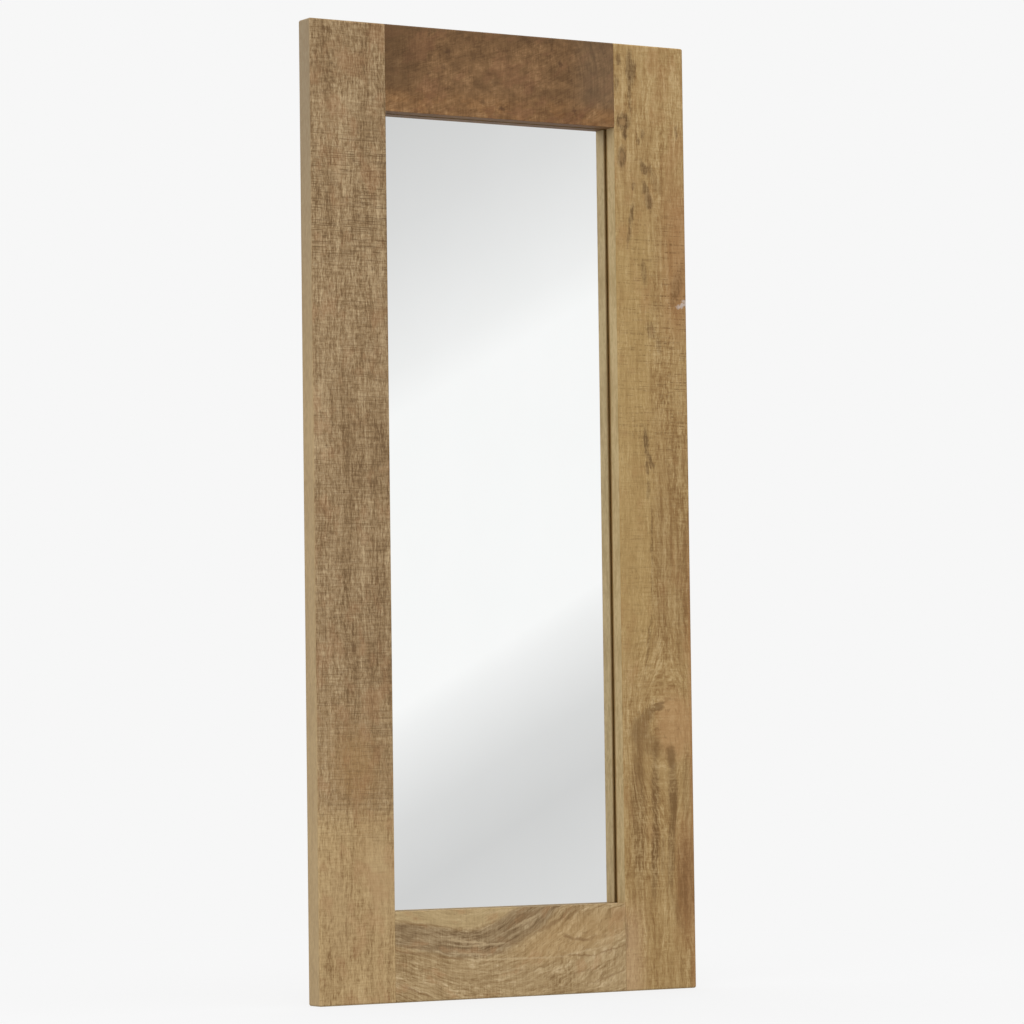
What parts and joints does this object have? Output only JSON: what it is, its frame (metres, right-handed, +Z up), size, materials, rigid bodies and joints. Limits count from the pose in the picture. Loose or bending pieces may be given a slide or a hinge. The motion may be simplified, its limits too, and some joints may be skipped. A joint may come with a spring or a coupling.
{
  "type": "framed mirror",
  "caption": "Tall rectangular mirror in a flat solid wood frame of butt-jointed boards, with a recessed glass and a ring hanger behind each upright.",
  "frame": {"origin": "middle of the frame's bottom edge, halfway through the boards' thickness", "axes": "+Z up along the frame's height, +Y out of the back towards the wall, so the mirror faces -Y, +X to the right as seen from the front"},
  "size_m": [0.5, 0.0317, 1.1],
  "materials": {
    "wood_stile_left": "matt oiled mango wood with band-saw marks",
    "wood_stile_right": "matt oiled mango wood, golden, with dark streaks",
    "wood_rail_top": "matt oiled mango wood, walnut brown",
    "wood_rail_bottom": "matt oiled mango wood, pale with brown figure",
    "dowel_wood": "plain beech",
    "mirror": "silvered float glass, 3 mm",
    "foam": "white foam tape",
    "fibreboard": "bare medium-density fibreboard",
    "panel_screw_steel": "yellow zinc-plated steel",
    "zinc_steel": "zinc-plated steel strip",
    "ring_steel": "zinc-plated steel wire",
    "hanger_screw_steel": "zinc-plated steel",
    "bumper_rubber": "matt black rubber"
  },
  "bodies": {
    "frame": {"stile_left": "wood_stile_left", "stile_right": "wood_stile_right", "rail_top": "wood_rail_top", "rail_bottom": "wood_rail_bottom", "dowel_left_bottom_outer": "dowel_wood", "dowel_left_bottom_inner": "dowel_wood", "dowel_left_top_outer": "dowel_wood", "dowel_left_top_inner": "dowel_wood", "dowel_right_bottom_outer": "dowel_wood", "dowel_right_bottom_inner": "dowel_wood", "dowel_right_top_outer": "dowel_wood", "dowel_right_top_inner": "dowel_wood", "mirror_glass": "mirror", "foam_tape_left": "foam", "foam_tape_right": "foam", "foam_tape_bottom": "foam", "foam_tape_top": "foam", "rear_panel": "fibreboard", "panel_screw_left_1": "panel_screw_steel", "panel_screw_left_2": "panel_screw_steel", "panel_screw_left_3": "panel_screw_steel", "panel_screw_left_4": "panel_screw_steel", "panel_screw_right_1": "panel_screw_steel", "panel_screw_right_2": "panel_screw_steel", "panel_screw_right_3": "panel_screw_steel", "panel_screw_right_4": "panel_screw_steel", "panel_screw_bottom_left": "panel_screw_steel", "panel_screw_bottom_right": "panel_screw_steel", "panel_screw_top_left": "panel_screw_steel", "panel_screw_top_right": "panel_screw_steel", "hanger_strap_left": "zinc_steel", "hanger_strap_right": "zinc_steel", "hanger_screw_left_upper": "hanger_screw_steel", "hanger_screw_left_lower": "hanger_screw_steel", "hanger_screw_right_upper": "hanger_screw_steel", "hanger_screw_right_lower": "hanger_screw_steel", "wall_bumper_left": "bumper_rubber", "wall_bumper_right": "bumper_rubber"},
    "ring_left": {"hanger_ring_left": "ring_steel"},
    "ring_right": {"hanger_ring_right": "ring_steel"}
  },
  "joints": [
    {"name": "ring_left_hinge", "type": "hinge", "parent": "frame", "child": "ring_left", "pos_m": [-0.214, 0.01585, 0.99], "axis": [-1, 0, 0], "range_deg": [0, 182]},
    {"name": "ring_right_hinge", "type": "hinge", "parent": "frame", "child": "ring_right", "pos_m": [0.214, 0.01585, 0.99], "axis": [-1, 0, 0], "range_deg": [0, 182]}
  ]
}
